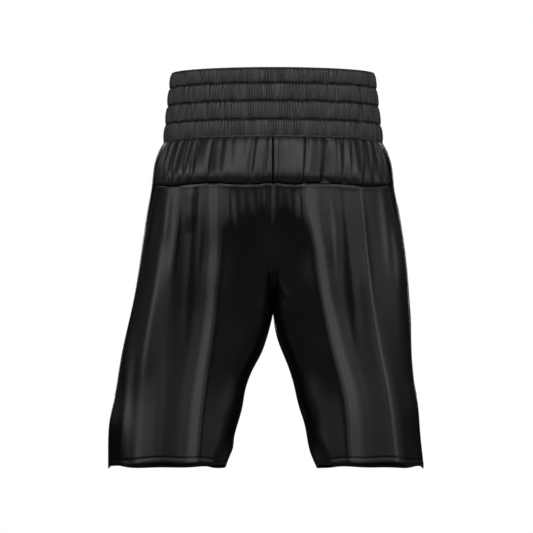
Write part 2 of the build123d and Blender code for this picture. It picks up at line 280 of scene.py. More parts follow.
def half_table(side):
    """Outline of one half by (level, column), in metres. Every fold line keeps its column."""
    pairs = [outline_corners(side, level) for level in LEVELS]
    shares = [np.mean([corner_runs(pair[k]) for pair in pairs], axis=0) for k in (0, 1)]
    places = np.linspace(0, 1, BACK_COLUMNS + 1)
    table = np.empty((len(LEVELS), COLUMNS + 1, 2))
    for number, pair in enumerate(pairs):
        halves = [
            np.stack([np.interp(places, share, corners[:, k]) for k in (0, 1)], axis=-1)
            for share, corners in zip(shares, pair)
        ]
        table[number] = np.concatenate([halves[0], halves[1][1:]]) * MM
    table = softened(table, 1, COLUMN_SOFTNESS)
    u = np.linspace(0, 1, COLUMNS + 1)[None, :, None]
    away = smooth(np.minimum(u, 1 - u), 0.01, 0.08)
    return table * (1 - away) + softened(table, 0, LEVEL_SOFTNESS) * away


TABLES = {side: half_table(side) for side in SIDES}


def seam_levels():
    """Levels of the seat rows on the centre seam, evenly spaced down its U-shaped run."""
    z = np.linspace(CROTCH_Z, YOKE_Z, 600)
    y = SEAM_DEPTH(z) * MM
    run = np.concatenate([[0], np.cumsum(np.hypot(np.diff(y), np.diff(z)))])
    return np.interp(np.linspace(run[-1], 0, SEAT_ROWS + 1), run, z)


def row_levels():
    """Level of every row on the outer side of the body, and on the centre seam and inner leg."""
    yoke = np.linspace(FOOT_Z + YOKE_TUCK, YOKE_Z, YOKE_ROW + 1)
    seat = np.linspace(YOKE_Z, CROTCH_Z, SEAT_ROWS + 1)
    leg = np.linspace(CROTCH_Z, HEM_Z, LEG_ROWS + 1)
    outer = np.concatenate([yoke[:-1], seat[:-1], leg])
    inner = np.concatenate([yoke[:-1], seam_levels()[:-1], leg])
    return outer, inner


OUTER_LEVELS, INNER_LEVELS = row_levels()


def base_surface(side):
    """Smooth body of one half, before its small folds."""
    u = np.linspace(0, 1, COLUMNS + 1)[None, :]
    near_seam = 1 - smooth(np.minimum(u, 1 - u), 0.0, 0.2)
    z = OUTER_LEVELS[:, None] * (1 - near_seam) + INNER_LEVELS[:, None] * near_seam
    points = np.empty(z.shape + (3,))
    for col in range(COLUMNS + 1):
        for k in (0, 1):
            points[:, col, k] = np.interp(z[:, col], LEVELS, TABLES[side][:, col, k])
    points[..., 2] = z
    above = z > YOKE_Z
    width = YOKE_WIDTH(z)
    depth = YOKE_DEPTH(z)
    points[..., 0] *= np.where(above, width / YOKE_WIDTH(YOKE_Z), 1) * SIDES[side]
    half_chord = np.sqrt(np.clip(1 - (points[..., 0] / (width * MM)) ** 2, 0, 1))
    oval = depth * MM * half_chord * np.sign(points[..., 1])
    squared = points[..., 1] * depth / YOKE_DEPTH(YOKE_Z)
    growth = smooth(z, FOOT_Z, YOKE_Z + 12 * MM)
    points[..., 1] = np.where(above, oval * (1 - growth) + squared * growth, points[..., 1])
    points[:CROTCH_ROW + 1, [0, -1], 0] = 0
    return points


def outward(points, side):
    """Outward directions of a half's grid."""
    return unit(np.cross(np.gradient(points, axis=1), np.gradient(points, axis=0)) * SIDES[side])


# ---- Folds ----

# Short ridges on the back: top (x, z), foot (x, z), height, width, all in mm, x to the wearer's left
RIDGES = [
    ((61, -163), (57, -250), 2.1, 7),
    ((38, -163), (34, -228), 1.4, 9),
    ((17, -163), (15, -210), 0.8, 5),
    ((-14, -163), (-21, -218), 1.2, 9),
    ((-38, -163), (-43, -252), 2.3, 7),
    ((-76, -163), (-84, -290), 2.0, 13),
    ((113, -163), (117, -235), 2.0, 9),
    ((143, -163), (152, -265), 2.6, 7),
    ((-5, -290), (-24, -332), 1.2, 3),
    ((-168, -200), (-186, -330), 3.0, 8),
    ((127, -150), (143, -320), 1.5, 4),
    ((154, -150), (178, -285), 1.9, 6),
    ((197, -340), (216, -640), 2.4, 6),
    ((-119, -150), (-143, -380), 1.3, 4),
    ((96, -150), (106, -330), 1.2, 5),
    ((108, -150), (124, -430), 1.1, 6),
    ((-72, -150), (-90, -350), 1.0, 5),
    ((-97, -150), (-122, -440), 1.2, 6),
    ((-150, -150), (-166, -310), 1.4, 5),
]


def ridge(points, top, foot, height, width):
    """A soft ridge on the back from one point to another, fading at its ends."""
    x, y, z = np.moveaxis(points, -1, 0)
    share = (top[1] * MM - z) / ((top[1] - foot[1]) * MM)
    line = (top[0] + (foot[0] - top[0]) * np.clip(share, 0, 1)) * MM
    across = (x - line) / (width * MM)
    fade = smooth(share, -0.05, 0.3) * (1 - smooth(share, 0.5, 1.0))
    return height * MM * np.exp(-across * across) * fade * (y > 0)


def scattered_folds(u, z):
    """Seeded folds for the front and the sides, where no fold is listed."""
    total = 0
    for place in np.arange(0.53, 0.985, 0.048):
        centre = place + random.uniform(-0.016, 0.016)
        drift = random.uniform(-0.025, 0.025)
        height = random.uniform(1.5, 3.8) * MM
        width = random.uniform(0.011, 0.024)
        foot = random.uniform(-600, -260) * MM
        across = (u - centre - drift * (YOKE_Z - z) / (YOKE_Z - HEM_Z)) / width
        fade = smooth(z, YOKE_Z, YOKE_Z - 25 * MM) * smooth(z, foot - 40 * MM, foot + 60 * MM)
        total = total + height * np.exp(-across * across) * fade
    return total


def folded_surface(side):
    """The half body with its folds, before the cloth settles."""
    points = base_surface(side)
    u = np.linspace(0, 1, COLUMNS + 1)[None, :] + 0 * points[..., 0]
    lift = scattered_folds(u, points[..., 2])
    for top, foot, height, width in RIDGES:
        lift = lift + ridge(points, top, foot, height, width)
    lift = lift * smooth(np.minimum(u, 1 - u), 0, 0.02)
    points = points + outward(points, side) * lift[..., None]
    level = points[..., 2]
    seam_wave = np.sin(u * 31 + 0.9) * 1.4 * MM * np.exp(-((level - YOKE_Z) / (14 * MM)) ** 2)
    hem_wave = (np.sin(u * 23 + 1.7) + 0.6 * np.sin(u * 47)) * 1.1 * MM
    hem_wave = hem_wave * smooth(level, HEM_Z + 60 * MM, HEM_Z)
    low_side = np.sign(u - 0.5) == -SIDES[side]
    corner = 4.5 * MM * np.exp(-np.abs(u - 0.5) / 0.05) * low_side * smooth(level, SLIT_Z, HEM_Z)
    points[..., 2] += (seam_wave + hem_wave - corner) * smooth(np.minimum(u, 1 - u), 0, 0.04)
    return points


# Valleys between the yoke's gathers on the back, in mm: top and foot from the centre, depth, width
YOKE_VALLEYS = {
    "left": [
        (8, 14, 1.8, 3.5), (28, 34, 2.8, 3.5), (45, 46, 0.9, 4.0), (62, 60, 0.8, 4.0),
        (76, 75, 1.1, 4.0), (92, 93, 1.9, 2.6), (114, 115, 2.1, 2.8), (128, 128, 1.8, 2.8),
        (142, 143, 1.6, 3.0), (154, 155, 1.5, 3.0),
    ],
    "right": [
        (11, 7, 1.0, 3.0), (28, 24, 0.7, 5.0), (52, 43, 2.6, 3.2), (68, 59, 0.8, 4.0),
        (84, 72, 4.5, 5.5), (96, 89, 1.0, 3.0), (108, 99, 3.2, 3.5), (118, 110, 1.8, 2.8),
        (136, 127, 1.9, 3.5), (148, 140, 1.6, 3.5), (158, 153, 1.4, 3.5),
    ],
}
# Girth of one half's yoke, in mm, which turns a share of it into a distance
YOKE_GIRTH = 430


def yoke_gathers(side):
    """Valleys round one half's yoke: top and foot as shares of it, depth and width in mm."""
    outline = TABLES[side][-1, :BACK_COLUMNS + 1, 0] / MM
    places = np.arange(BACK_COLUMNS + 1) / COLUMNS
    gathers = []
    for top, foot, depth, width in YOKE_VALLEYS[side]:
        ends = [np.interp(end, outline, places) for end in (top, foot)]
        gathers.append((*ends, depth, width))
    place = 0.47
    while place < 0.98:
        slant = random.uniform(-0.012, 0.012)
        gathers.append((place, place + slant, random.uniform(0.8, 2.2), random.uniform(2.8, 4.5)))
        place += random.uniform(0.028, 0.062)
    return gathers


GATHERS = {side: yoke_gathers(side) for side in SIDES}


def gather_relief(side, u, z):
    """Pillows of the gathered yoke: full between the valleys, sagging over the seam below."""
    drop = np.clip((FOOT_Z - z) / (FOOT_Z - YOKE_Z), 0, 1)
    valleys = 0
    nearness = 0
    for top, foot, depth, width in GATHERS[side]:
        across = (u - top - (foot - top) * drop) * YOKE_GIRTH / width
        valleys = np.maximum(valleys, depth * np.exp(-across * across))
        nearness = np.maximum(nearness, min(1, depth / 2) * np.exp(-np.abs(across) / 1.6))
    rounding = np.clip(np.minimum(drop / 0.08, (1 - drop) / (0.05 + 0.09 * nearness)), 0, 1)
    plateau = np.sqrt(1 - (1 - rounding) ** 2)
    lift = 2.6 * plateau - 1.5 * valleys * (0.25 + 0.75 * plateau) * (0.65 + 0.35 * drop)
    plain = 2.2 * smooth(drop, 0.0, 0.35) * (1 - smooth(drop, 0.35, 1.0)) - 0.5 * valleys * (1 - drop)
    beside = smooth(np.abs(u - 0.5), 0.05, 0.1)
    lift = lift * beside + plain * (1 - beside)
    crimps = np.sin(u * 2 * np.pi * 71 + 3 * drop) + np.sin(u * 2 * np.pi * 53 - 2 * drop + 1)
    fade = smooth(np.minimum(u, 1 - u), 0, 0.012)
    return np.where(z > YOKE_Z, lift + 0.015 * crimps * plateau, 0) * MM * fade


# ---- Cloth simulation ----

SETTLING_FRAMES = 16
CLOTH_SETTINGS = {
    "quality": 5, "mass": 0.15, "tension_stiffness": 20, "compression_stiffness": 20,
    "shear_stiffness": 8, "bending_stiffness": 1.0, "tension_damping": 5, "bending_damping": 0.5,
    "pin_stiffness": 1.0,
}


def body_mesh(halves):
    """One sheet of cloth for the whole body, sewn at the centre and inner legs, open at the slits."""
    index = {}
    coords = []

    def add(point):
        coords.append(tuple(point))
        return len(coords) - 1

    for side, points in halves.items():
        ids = np.full((LAST_ROW + 1, COLUMNS + 2), -1, dtype=int)
        for row in range(LAST_ROW + 1):
            for col in range(COLUMNS + 1):
                slot = col if col <= BACK_COLUMNS else col + 1
                ids[row, slot] = add(points[row, col])
            if row > SLIT_ROW:
                ids[row, BACK_COLUMNS + 1] = add(points[row, BACK_COLUMNS])
            else:
                ids[row, BACK_COLUMNS + 1] = ids[row, BACK_COLUMNS]
            if row >= CROTCH_ROW:
                ids[row, -1] = ids[row, 0]
        index[side] = ids
    for row in range(CROTCH_ROW + 1):
        index["right"][row, 0] = index["left"][row, 0]
        index["right"][row, -1] = index["left"][row, -1]

    faces = []
    for side, ids in index.items():
        for row in range(LAST_ROW):
            for col in range(COLUMNS + 1):
                if col == BACK_COLUMNS:
                    continue
                corner = [ids[row, col], ids[row, col + 1], ids[row + 1, col + 1], ids[row + 1, col]]
                faces.append(corner if side == "right" else corner[::-1])
    return np.array(coords), faces, index


def settle(halves):
    """Let the cloth hang: gravity and soft springs to its shape, held hard at the yoke's edges."""
    coords, faces, index = body_mesh(halves)
    mesh = bpy.data.meshes.new("settling")
    mesh.from_pydata([tuple(c) for c in coords], [], faces)
    body = bpy.data.objects.new("settling", mesh)
    bpy.context.scene.collection.objects.link(body)
    hold = body.vertex_groups.new(name="hold")
    for side, ids in index.items():
        for row in range(LAST_ROW + 1):
            fall = max(0, row - YOKE_ROW) / (LAST_ROW - YOKE_ROW)
            weight = 0.75 - 0.25 * fall
            if row < YOKE_ROW:
                weight = 0.7
            if row in (0, YOKE_ROW):
                weight = 1.0
            hold.add([int(i) for i in ids[row, 1:-1]], weight, "REPLACE")
            hold.add([int(ids[row, 0]), int(ids[row, -1])], max(weight, 0.5), "REPLACE")
    cloth = body.modifiers.new("cloth", "CLOTH")
    for key, value in CLOTH_SETTINGS.items():
        setattr(cloth.settings, key, value)
    cloth.settings.vertex_group_mass = "hold"
    cloth.collision_settings.use_collision = False
    scene = bpy.context.scene
    cloth.point_cache.frame_start = 1
    cloth.point_cache.frame_end = SETTLING_FRAMES
    for number in range(1, SETTLING_FRAMES + 1):
        scene.frame_set(number)
    settled = body.evaluated_get(bpy.context.evaluated_depsgraph_get())
    moved = np.empty(len(coords) * 3)
    settled.data.vertices.foreach_get("co", moved)
    moved = moved.reshape(-1, 3)
    scene.frame_set(1)
    bpy.data.objects.remove(body)
    bpy.data.meshes.remove(mesh)
    for side, ids in index.items():
        halves[side] = np.concatenate(
            [moved[ids[:, :BACK_COLUMNS + 1]], moved[ids[:, BACK_COLUMNS + 1:]]], axis=1
        )
    return halves


class Cloth:
    """Smooth surface through one half's settled points, to be read at any row and column."""

    def __init__(self, own, other):
        self.face = {}
        back = own[:, :BACK_COLUMNS + 1]
        front = own[:, BACK_COLUMNS + 1:]
        below = slice(SLIT_ROW + 1, None)
        for face, inwards, way in (("back", back[:, ::-1], 1), ("front", front, -1)):
            grid = np.concatenate([back, front[:, 1:]], axis=1)
            edge = inwards[below, 0]
            for beyond in range(3):
                past = edge + beyond * (edge - inwards[below, 1])
                grid[below, BACK_COLUMNS + way * beyond] = past
            wide = np.empty((grid.shape[0], grid.shape[1] + 4, 3))
            wide[:, 2:-2] = grid
            for ghost in (1, 2):
                wide[:CROTCH_ROW + 1, 2 - ghost] = other[:CROTCH_ROW + 1, ghost]
                wide[:CROTCH_ROW + 1, -3 + ghost] = other[:CROTCH_ROW + 1, -1 - ghost]
                wide[CROTCH_ROW + 1:, 2 - ghost] = grid[CROTCH_ROW + 1:, -1 - ghost]
                wide[CROTCH_ROW + 1:, -3 + ghost] = grid[CROTCH_ROW + 1:, ghost]
            self.face[face] = wide

    def at(self, column, row, face):
        """Catmull-Rom surface point at fractional grid places."""
        grid = self.face[face]
        column, row = np.broadcast_arrays(column, row)
        c = np.clip(np.floor(column).astype(int), -1, COLUMNS)
        r = np.clip(np.floor(row).astype(int), 0, LAST_ROW - 1)
        s = (column - c)[..., None]
        t = (row - r)[..., None]

        def blend(a, b, c, d, x):
            return b + 0.5 * x * (c - a + x * (2 * a - 5 * b + 4 * c - d + x * (3 * (b - c) + d - a)))

        lines = []
        for shift in (-1, 0, 1, 2):
            line = np.clip(r + shift, 0, LAST_ROW)
            cells = [grid[line, np.clip(c + 2 + k, 0, COLUMNS + 4)] for k in (-1, 0, 1, 2)]
            lines.append(blend(*cells, s))
        return blend(*lines, t)

    def normal(self, column, row, face, sign):
        """Outward normal of the smooth surface."""
        column, row = np.broadcast_arrays(column, row)
        reach = 0.25
        top = np.clip(row - reach, 0, LAST_ROW)
        low = np.clip(row + reach, 0, LAST_ROW)
        across = self.at(column + reach, row, face) - self.at(column - reach, row, face)
        down = self.at(column, low, face) - self.at(column, top, face)
        return unit(np.cross(across, down) * sign)


# ---- Mesh building ----

def link_mesh(name, mesh):
    """A smooth-shaded object made from a mesh, put into the scene."""
    mesh.polygons.foreach_set("use_smooth", [True] * len(mesh.polygons))
    mesh.update()
    piece = bpy.data.objects.new(name, mesh)
    bpy.context.scene.collection.objects.link(piece)
    return piece


def grid_object(name, points, flip=False, ring=False, thickness=0.0):
    """A piece from a grid of points, with the cloth's run as its UV map."""
    rows, cols = points.shape[:2]
    mesh = bpy.data.meshes.new(name)
    r, c = np.meshgrid(np.arange(rows - 1), np.arange(cols if ring else cols - 1), indexing="ij")
    after = (c + 1) % cols
    quad = np.stack([r * cols + c, r * cols + after, (r + 1) * cols + after, (r + 1) * cols + c], axis=-1)
    if not flip:
        quad = quad[..., ::-1]
    mesh.from_pydata(points.reshape(-1, 3).tolist(), [], quad.reshape(-1, 4).tolist())
    along = np.zeros((rows, cols + 1))
    wrapped = np.concatenate([points, points[:, :1]], axis=1)
    along[:, 1:] = np.cumsum(np.linalg.norm(np.diff(wrapped, axis=1), axis=-1), axis=1)
    along -= along[:, -1:] / 2
    down = np.zeros((rows, cols + 1))
    down[1:] = np.cumsum(np.linalg.norm(np.diff(wrapped, axis=0), axis=-1), axis=0)
    uv = np.stack([along, down], axis=-1)
    corner = np.stack([uv[r, c], uv[r, c + 1], uv[r + 1, c + 1], uv[r + 1, c]], axis=2)
    if not flip:
        corner = corner[:, :, ::-1]
    layer = mesh.uv_layers.new(name="cloth")
    layer.data.foreach_set("uv", corner.reshape(-1))
    piece = link_mesh(name, mesh)
    if thickness:
        skin = piece.modifiers.new("thickness", "SOLIDIFY")
        skin.thickness = thickness
        skin.offset = -1
    return piece


def finish_piece(piece, material, nodes, body="garment"):
    """Material, body, slot and the CAD nodes that a piece stands for."""
    piece.data.materials.append(material)
    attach(piece, body)
    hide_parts(*nodes)


def cloth_piece(cad_node, points, flip, material):
    """A panel of cloth that stands for one CAD node."""
    piece = grid_object(f"{cad_node}_cloth", points, flip=flip, thickness=CLOTH_THICKNESS)
    finish_piece(piece, material, [cad_node])
    return piece


# ---- Materials ----

def node(tree, kind, **values):
    """A shader node with its settings and socket values."""
    made = tree.nodes.new(kind)
    for key, value in values.items():
        if hasattr(made, key):
            setattr(made, key, value)
        else:
            made.inputs[key.replace("_", " ")].default_value = value
    return made


def cloth_material(name, color, roughness, weave, warp=0.0, specular=0.5, spread=0.06):
    """Woven cloth: thread relief from the piece's own run, mottled colour and gloss."""
    material = bpy.data.materials.new(name)
    material.use_nodes = True
    tree = material.node_tree
    shader = tree.nodes["Principled BSDF"]
    shader.inputs["Specular IOR Level"].default_value = specular
    shader.inputs["Anisotropic"].default_value = warp
    link = tree.links.new
    where = node(tree, "ShaderNodeTexCoord")
    run = node(tree, "ShaderNodeUVMap", uv_map="cloth")

    mottle = node(tree, "ShaderNodeTexNoise", Scale=9.0, Detail=4.0)
    link(where.outputs["Object"], mottle.inputs["Vector"])
    tone = node(tree, "ShaderNodeMapRange", To_Min=roughness - spread, To_Max=roughness + spread)
    link(mottle.outputs["Fac"], tone.inputs["Value"])
    link(tone.outputs["Result"], shader.inputs["Roughness"])

    dark, light = [(*[share * c for c in color], 1) for share in (0.7, 1.3)]
    shade = node(tree, "ShaderNodeMix", data_type="RGBA", A=dark, B=light)
    threads = node(tree, "ShaderNodeTexNoise", Scale=1.0, Detail=2.0)
    stretch = node(tree, "ShaderNodeMapping", Scale=(120, 2600, 1))
    link(run.outputs["UV"], stretch.inputs["Vector"])
    link(stretch.outputs["Vector"], threads.inputs["Vector"])
    link(threads.outputs["Fac"], shade.inputs["Factor"])
    link(shade.outputs["Result"], shader.inputs["Base Color"])

    cross = node(tree, "ShaderNodeTexWave", Scale=weave, Distortion=1.2, Detail=1.0)
    link(run.outputs["UV"], cross.inputs["Vector"])
    relief = node(tree, "ShaderNodeMix", data_type="FLOAT", Factor=0.35)
    link(threads.outputs["Fac"], relief.inputs["A"])
    link(cross.outputs["Fac"], relief.inputs["B"])
    bump = node(tree, "ShaderNodeBump", Strength=0.25, Distance=0.00012)
    link(relief.outputs["Result"], bump.inputs["Height"])
    link(bump.outputs["Normal"], shader.inputs["Normal"])
    return material


satin = cloth_material("black_satin", (0.0025, 0.0025, 0.0027), 0.26, 900, warp=0.65, spread=0.03)
satin_gathered = cloth_material("black_satin_gathered", (0.004, 0.004, 0.0042), 0.42, 900, warp=0.2)
# The shirred band is the same black satin as the legs and the yoke, but with a lighter base colour: painted
# light that brightens the band's tone. Its rougher gloss and higher specular level are set as well.
satin_band_painted_lighter = cloth_material("black_satin_shirred_painted_lighter", (0.006, 0.006, 0.0062), 0.44, 900, warp=0.2, specular=0.6)
reverse = cloth_material("satin_reverse", (0.006, 0.006, 0.0065), 0.6, 700, specular=0.3)
thread = cloth_material("sewing_thread", (0.004, 0.004, 0.0042), 0.5, 1800, specular=0.3)
webbing = cloth_material("elastic_webbing", (0.02, 0.02, 0.021), 0.7, 350, specular=0.3)
label_tape = cloth_material("label_tape", (0.5, 0.5, 0.48), 0.55, 1500)


# ---- Waistband ----

WAIST_COLUMNS = 2200
CHANNEL_ROWS = 9
LINING_ROWS = 4
RIM_ROWS = 4
RIM_RADIUS = 1.5 * MM
FOLD_Z = RIM_Z - RIM_RADIUS


def waist_noise(theta, periods, seed):
    """Seamless noise round the waist: a few waves of nearly the same period, out of step."""
    draw = np.random.default_rng(seed)
    total = 0
    for period in periods:
        for spread in (-0.21, -0.08, 0.0, 0.09, 0.23):
            turns = round(period * (1 + spread))
            total = total + np.sin(turns * theta + draw.uniform(0, 2 * np.pi)) * draw.uniform(0.6, 1.0)
    return total / (2.0 * len(periods))


def waist_point(theta, z, shift):
    """A point at a level of the leaning waistband, shifted outwards from its groove line."""
    lean = -5 * MM + LEAN * (RIM_Z - z) / (RIM_Z - FOOT_Z)
    x = (WAIST_X + lean + shift) * np.cos(theta)
    y = (WAIST_Y + lean + shift) * np.sin(theta)
    return np.stack(np.broadcast_arrays(x, y, z), axis=-1)


def groove_wander(theta, number):
    """How far a groove strays up and down from its level."""
    return waist_noise(theta, (17, 31, 60), 401 + number) * 0.5 * MM


def waist_casing():
    """Shirred casing: four puffed channels outside, the fold at the rim, plainer inside."""
    theta = np.linspace(0, 2 * np.pi, WAIST_COLUMNS, endpoint=False)
    levels = [FOLD_Z] + GROOVE_Z + [FOOT_Z]
    rows = []
    for number, (top, low) in enumerate(zip(levels[:-1], levels[1:])):
        ripple_a = waist_noise(theta, (95, 150), 100 + number)
        ripple_b = ripple_a * 0.6 + waist_noise(theta, (85, 140), 200 + number) * 0.6
        bulge = waist_noise(theta, (23, 41), 300 + number)
        wander_top = groove_wander(theta, number - 1) if number else 0
        wander_low = groove_wander(theta, number)
        for step in range(CHANNEL_ROWS):
            t = 0.5 - 0.5 * math.cos(math.pi * step / CHANNEL_ROWS)
            puff = math.sin(math.pi * t) ** 0.33
            ripple = ripple_a * (1 - t) + ripple_b * t
            z = (top + wander_top) * (1 - t) + (low + wander_low) * t
            crimp = 1 - np.exp(-np.abs(ripple) / 0.6)
            shift = (3.2 + 0.5 * bulge) * MM * puff + 2.8 * MM * (crimp - 0.8) * (0.4 + 0.6 * puff) - 1.7 * MM
            rows.append(waist_point(theta, z, shift))
    rows.append(waist_point(theta, FOOT_Z, -0.3 * MM))
    rim = []
    rim_ripple = waist_noise(theta, (190, 265), 100)
    for step in range(1, RIM_ROWS + 1):
        turn = math.pi * step / (RIM_ROWS + 1)
        inside = (1 + math.cos(turn)) / 2
        shift = (0.5 * rim_ripple - 4.4) * MM * inside
        rim.append(waist_point(theta, FOLD_Z + RIM_RADIUS * math.sin(turn), shift))
    inner_ripple = waist_noise(theta, (190, 250), 77)
    lining = [
        waist_point(theta, level, -4.4 * MM + 0.4 * MM * inner_ripple)
        for level in np.linspace(FOLD_Z, FOOT_Z, LINING_ROWS + 1)
    ]
    order = lining[::-1] + rim + rows
    return grid_object("waistband_casing_cloth", np.array(order), ring=True)


# ---- Pieces of the body ----

def row_of(z):
    """Fractional row at a level of the outer side."""
    return np.interp(-np.asarray(z), -OUTER_LEVELS, np.arange(LAST_ROW + 1))


def panel_edges(side):
    """Column of the back edge of the side panel at every row, from its tapering width."""
    depths = base_surface(side)[..., 1]
    levels = [-FOOT_Z, -YOKE_Z, -SLIT_Z, -SLIT_Z + 1 * MM]
    half = np.interp(-OUTER_LEVELS, levels, [42 * MM, 52 * MM, 4 * MM, 0])
    columns = np.arange(BACK_COLUMNS // 2, BACK_COLUMNS + 1)
    return np.array([np.interp(-h, -depth[columns], columns) for h, depth in zip(half, depths)])


PANEL_EDGES = {side: panel_edges(side) for side in SIDES}


def side_columns(side, row):
    """Column of the back edge of the side panel at a fractional row."""
    return np.interp(row, np.arange(LAST_ROW + 1), PANEL_EDGES[side])


SEAM_GROOVE = 0.6
CENTRE_GROOVE = 0.3


def seam_relief(points, normals, distance, depth):
    """Groove at the seam itself, its depth in mm, and the doubled cloth beside it."""
    groove = -depth * MM * np.exp(-(distance / (0.9 * MM)) ** 2)
    allowance = 0.35 * MM * np.exp(-((distance - 4 * MM) / (3.0 * MM)) ** 2)
    return points + normals * (groove + allowance)[..., None]


def edge_distance(points, edge):
    """Run along the cloth from one edge of a grid, column by column."""
    step = np.linalg.norm(np.diff(points, axis=1), axis=-1)
    run = np.concatenate([np.zeros((points.shape[0], 1)), np.cumsum(step, axis=1)], axis=1)
    return run if edge == "first" else run[:, -1:] - run


def row_distance(points, edge):
    """Run down the cloth from one edge of a grid, row by row."""
    return edge_distance(points.transpose(1, 0, 2), edge).T


def panel_points(cloth, side, face, top_row, foot_row, first, last, count):
    """Points and normals of a panel between two column lines, with the yoke's gathers."""
    rows = np.linspace(top_row, foot_row, count[0])[:, None]
    share = np.linspace(0, 1, count[1])[None, :]
    columns = first(rows) * (1 - share) + last(rows) * share
    normals = cloth.normal(columns, rows, face, SIDES[side])
    points = cloth.at(columns, rows, face)
    level = np.interp(rows, np.arange(LAST_ROW + 1), OUTER_LEVELS)
    return points + normals * gather_relief(side, columns / COLUMNS, level)[..., None], normals


def seamed(points, normals, first_groove, seam_row=None):
    """Seam relief along a panel's two edges, and along its top or foot row if one is a seam."""
    points = seam_relief(points, normals, edge_distance(points, "first"), first_groove)
    points = seam_relief(points, normals, edge_distance(points, "last"), SEAM_GROOVE)
    if seam_row:
        points = seam_relief(points, normals, row_distance(points, seam_row), SEAM_GROOVE)
    return points


def turned_hem(points, normals):
    """Fold the foot of a panel inwards and up by the hem's depth."""
    foot = points[-1]
    inward = -normals[-1]
    extra = []
    for quarter in HEM_QUARTERS:
        angle = quarter * np.pi
        turn = inward * HEM_TURN * (1 - np.cos(angle))
        extra.append(foot + turn + np.array([0, 0, -HEM_TURN]) * np.sin(angle))
    for quarter in HEM_QUARTERS:
        rise = points[int(round(len(points) - 1 - HEM_FINE_ROWS * quarter))]
        extra.append(rise + inward * 2 * HEM_TURN)
    return np.concatenate([points, np.array(extra)], axis=0)


def body_pieces(halves):
    """Cut the settled cloth into its panels. Returns each half's cloth and each leg's points."""
    cloths = {}
    grids = {}
    for side, other in (("left", "right"), ("right", "left")):
        cloth = Cloth(halves[side], halves[other])
        cloths[side] = cloth

        def back_edge(rows):
            return side_columns(side, rows)

        def front_edge(rows):
            return COLUMNS - side_columns(side, rows)

        for face in FACES:
            if face == "back":
                edges = (lambda rows: 0 * rows, back_edge)
            else:
                edges = (lambda rows: COLUMNS + 0 * rows, front_edge)
            flip = (side == "left") == (face == "back")
            points, normals = panel_points(cloth, side, face, 0, YOKE_ROW, *edges, (90, 300))
            points = seamed(points, normals, CENTRE_GROOVE, "last")
            yoke = cloth_piece(f"{face}_yoke_{side}", points, flip, satin_gathered)

            points, normals = panel_points(cloth, side, face, YOKE_ROW, LAST_ROW, *edges, (240, 160))
            points = seamed(points, normals, CENTRE_GROOVE, "first")
            hem_row = (row_distance(points, "last") - HEM_STITCH) / (1.2 * MM)
            points = points - normals * (0.35 * MM * np.exp(-hem_row ** 2))[..., None]
            grids[f"{face}_leg_{side}"] = points
            leg = cloth_piece(f"{face}_leg_{side}", turned_hem(points, normals), flip, satin)

        foot_row = SLIT_ROW - 0.3
        edges = (back_edge, front_edge)
        points, normals = panel_points(cloth, side, "back", 0, foot_row, *edges, (300, 110))
        points = seamed(points, normals, SEAM_GROOVE)
        panel = cloth_piece(f"side_panel_{side}", points, side == "left", satin)
    return cloths, grids


# ---- Stitching ----

STITCH_PITCH = 2.6 * MM
STITCH_LENGTH = 2.0 * MM
STITCH_RADIUS = 0.24 * MM
STITCH_SIDES = 6
CENTRE_STITCHES = (-172 * MM, -300 * MM)
INSEAM_STITCH_TOP = -352 * MM
# Stations along one stitch, as shares of its length, and its height and size there in radii
STITCH_STATIONS = np.array([0, 0.16, 0.5, 0.84, 1.0])
STITCH_HEIGHTS = np.array([-0.9, 0.55, 0.75, 0.55, -0.9])
STITCH_SIZES = np.array([0.75, 1, 1, 1, 0.75])


def line_beside(points, edge, distance):
    """Line on a panel's surface at a distance from its first or last column, with its normals."""
    run = edge_distance(points, edge)
    if edge == "last":
        points, run = points[:, ::-1], run[:, ::-1]
    line = np.empty((len(points), 3))
    beside = np.empty((len(points), 3))
    for row in range(len(points)):
        for k in range(3):
            line[row, k] = np.interp(distance, run[row], points[row, :, k])
            beside[row, k] = np.interp(distance + 1.5 * MM, run[row], points[row, :, k])
    return line, unit(np.cross(np.gradient(line, axis=0), beside - line))


def line_across(points, edge, distance):
    """Line on a panel's surface at a distance from its first or last row, with its normals."""
    return line_beside(points.transpose(1, 0, 2), edge, distance)


def away_from(line, normals, axis_x=0.0):
    """Turn normals so that they point away from the body's or the leg's own axis."""
    outwards = line - np.array([axis_x, 0, 0])
    outwards[:, 2] = 0
    turn = np.sign(np.sum(outwards * normals, axis=-1, keepdims=True))
    return normals * np.where(turn == 0, 1, turn)


def stitches(line, normals, pitch=STITCH_PITCH, length=STITCH_LENGTH, radius=STITCH_RADIUS):
    """Short rounded stitches along a line, dipping into the cloth at both ends."""
    run = run_along(line)
    starts = np.arange(0.3 * pitch, run[-1] - length, pitch)
    places = starts[:, None] + STITCH_STATIONS * length
    centre = np.stack([np.interp(places, run, line[:, k]) for k in range(3)], axis=-1)
    up = unit(np.stack([np.interp(places, run, normals[:, k]) for k in range(3)], axis=-1))
    along = unit(centre[:, -1:] - centre[:, :1])
    side = unit(np.cross(along + 0 * up, up))
    centre = centre + up * radius * STITCH_HEIGHTS[None, :, None]
    size = radius * STITCH_SIZES[None, :, None, None]
    turn = 2 * np.pi * np.arange(STITCH_SIDES) / STITCH_SIDES
    ring = side[:, :, None] * np.cos(turn)[:, None] + up[:, :, None] * np.sin(turn)[:, None]
    return (centre[:, :, None] + ring * size).reshape(-1, 3)


